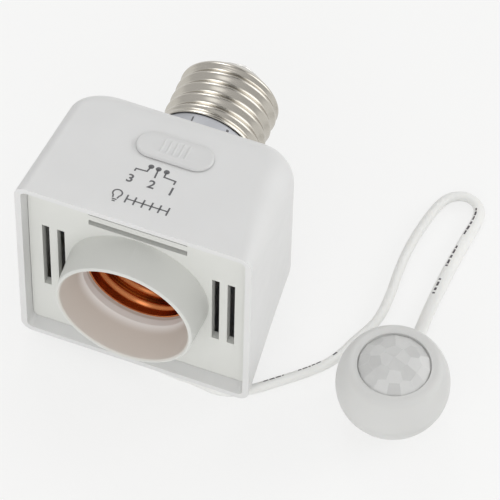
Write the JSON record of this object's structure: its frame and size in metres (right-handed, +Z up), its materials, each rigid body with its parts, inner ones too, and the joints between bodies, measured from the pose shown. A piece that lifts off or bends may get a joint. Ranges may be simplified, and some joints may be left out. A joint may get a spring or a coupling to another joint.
{
  "type": "lamp holder",
  "caption": "Screw-in lamp holder with a motion sensor: wedge-shaped housing, open lamp socket in a collar, slide switch on top, and a round sensor on a short flexible cord.",
  "frame": {"origin": "on the table under the middle of the object's box, measured without the cord", "axes": "+Y along the lamp's axis from the lamp's side to the screw cap, +X towards the sensor ball, +Z up"},
  "size_m": [0.1074, 0.0871, 0.062],
  "materials": {
    "white_plastic": "fine matte white moulding",
    "cover_plastic": "smooth white moulding, a little glossier",
    "knob_plastic": "smooth white moulding",
    "nickel": "warm nickel plate with a rolled thread",
    "cap_insulation": "pale insulating ring",
    "solder": "soft bright solder",
    "black_plastic": "black moulding",
    "copper": "bare copper with a rolled thread",
    "brass": "bare spring brass",
    "steel": "zinc plate",
    "switch_metal": "pressed tin plate",
    "board": "green solder mask",
    "relay_case": "blue moulding",
    "film_case": "yellow moulding",
    "elco_sleeve": "dark shrink sleeve",
    "fuse_glass": "clear glass with metal ends",
    "plug_plastic": "natural moulding",
    "lead_supply": "red insulation",
    "lead_lamp": "black insulation",
    "cord_sheath": "soft matte grey-white sheath",
    "boot_rubber": "soft matte white",
    "ball_plastic": "smooth matte white moulding",
    "lens_plastic": "milky faceted polyethylene",
    "sensor_can": "plated can",
    "sensor_window": "dark filter window",
    "photocell_case": "clear moulded case"
  },
  "bodies": {
    "holder": {"housing": "white_plastic", "front_cover": "cover_plastic", "cap_neck": "white_plastic", "cap_shell": "nickel", "cap_insulator": "cap_insulation", "cap_contact": "solder", "socket_body": "black_plastic", "socket_shell": "copper", "socket_contact": "brass", "contact_rivet": "brass", "socket_screws": "steel", "slide_switch": "switch_metal", "switch_screws": "steel", "main_board": "board", "relay": "relay_case", "film_capacitor": "film_case", "electrolytic_capacitor": "elco_sleeve", "fuse": "fuse_glass", "driver_chip": "black_plastic", "sensor_plug": "plug_plastic", "board_screws": "steel", "supply_leads": "lead_supply", "lamp_leads": "lead_lamp", "sensor_cord": "cord_sheath", "cord_boot": "boot_rubber", "ball_upper": "ball_plastic", "ball_lower": "ball_plastic", "sensor_lens": "lens_plastic", "lens_holder": "black_plastic", "sensor_board": "board", "sensor_screws": "steel", "pir_sensor": "sensor_can", "pir_window": "sensor_window", "photocell": "photocell_case", "ball_bushing": "boot_rubber"},
    "knob": {"switch_knob": "knob_plastic", "switch_lever": "black_plastic"}
  },
  "joints": [
    {"name": "switch_slide", "type": "slide", "parent": "holder", "child": "knob", "axis": [1, 0, 0], "range_m": [-0.0046, 0]}
  ]
}
